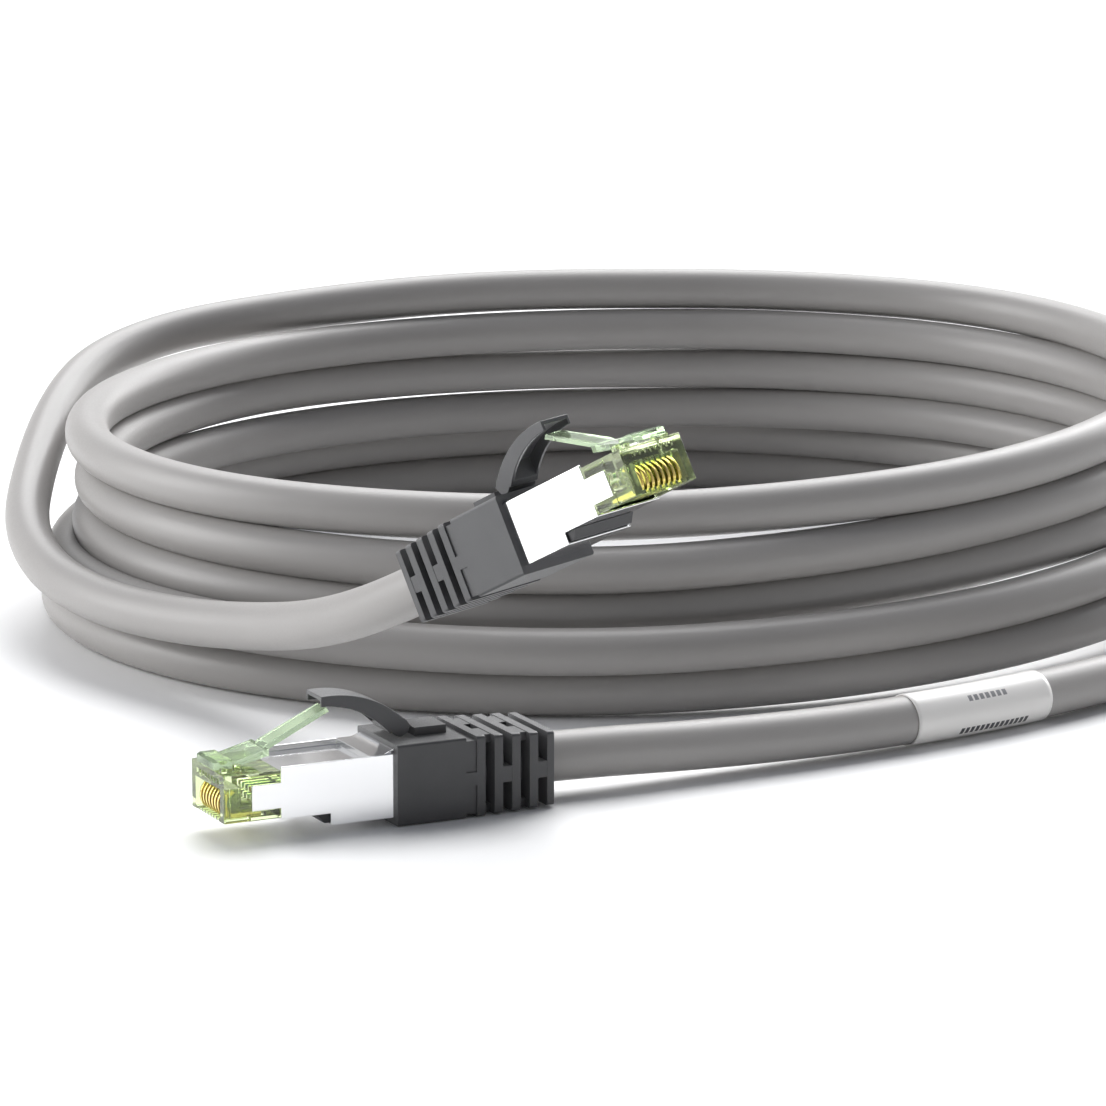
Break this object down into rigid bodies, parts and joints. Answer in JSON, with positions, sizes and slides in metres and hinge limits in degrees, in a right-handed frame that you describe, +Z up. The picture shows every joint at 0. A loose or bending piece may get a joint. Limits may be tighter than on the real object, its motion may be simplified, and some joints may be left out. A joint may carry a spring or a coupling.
{
  "type": "ethernet patch cable",
  "caption": "Coiled, thick shielded ethernet patch cable, with a clear modular plug, metal shield, ribbed boot and bowed latch guard at each end.",
  "frame": {"origin": "centre of the flat underside of the near plug's boot block, on the surface", "axes": "+X along the near plug from its nose to its cable, +Y towards the coil, +Z up"},
  "size_m": [0.2318, 0.2403, 0.058],
  "materials": {
    "clear_housing": "clear yellow-green moulded polycarbonate",
    "clear_latch": "clear moulded polycarbonate",
    "gold_contacts": "gold plated",
    "guide_plastic": "plain moulded",
    "wire_insulation": "extruded",
    "plated_shield": "bright nickel plated sheet",
    "clamp_metal": "formed sheet",
    "braid": "tinned copper braid",
    "cable_jacket": "satin warm grey extruded",
    "boot_plastic": "satin charcoal moulded",
    "label_paper": null
  },
  "bodies": {
    "root": {"near_plug_housing": "clear_housing", "near_contact_blades": "gold_contacts", "near_wire_guide": "guide_plastic", "near_conductors": "wire_insulation", "near_shield_shell": "plated_shield", "near_cable_clamp": "clamp_metal", "near_braid_cuff": "braid", "near_jacket_end": "cable_jacket", "near_boot": "boot_plastic", "far_plug_housing": "clear_housing", "far_contact_blades": "gold_contacts", "far_wire_guide": "guide_plastic", "far_conductors": "wire_insulation", "far_shield_shell": "plated_shield", "far_cable_clamp": "clamp_metal", "far_braid_cuff": "braid", "far_jacket_end": "cable_jacket", "far_boot": "boot_plastic", "cord_lead": "cable_jacket", "cord_coil": "cable_jacket", "cord_tail": "cable_jacket", "label_sleeve": "label_paper"},
    "near_latch": {"near_latch": "clear_latch"},
    "near_guard": {"near_latch_guard": "boot_plastic"},
    "far_latch": {"far_latch": "clear_latch"},
    "far_guard": {"far_latch_guard": "boot_plastic"}
  },
  "joints": [
    {"name": "near_guard_press", "type": "hinge", "parent": "root", "child": "near_guard", "pos_m": [-0.0029, 0, 0.01305], "axis": [0, -1, 0], "range_deg": [0, 15], "stiffness_Nm_per_rad": 0.2},
    {"name": "near_latch_press", "type": "hinge", "parent": "root", "child": "near_latch", "pos_m": [-0.02965, 0, 0.0104], "axis": [0, 1, 0], "range_deg": [0, 10], "stiffness_Nm_per_rad": 0.15},
    {"name": "far_guard_press", "type": "hinge", "parent": "root", "child": "far_guard", "pos_m": [0.01351, -0.00563, 0.04695], "axis": [0.9465, 0.3152, 0.0691], "range_deg": [0, 15], "stiffness_Nm_per_rad": 0.2},
    {"name": "far_latch_press", "type": "hinge", "parent": "root", "child": "far_latch", "pos_m": [0.02082, -0.02968, 0.05646], "axis": [-0.9465, -0.3152, -0.0691], "range_deg": [0, 10], "stiffness_Nm_per_rad": 0.15}
  ],
  "couplings": [
    {"joint": "near_latch_press", "follows": "near_guard_press", "ratio": 0.66},
    {"joint": "far_latch_press", "follows": "far_guard_press", "ratio": 0.66}
  ]
}
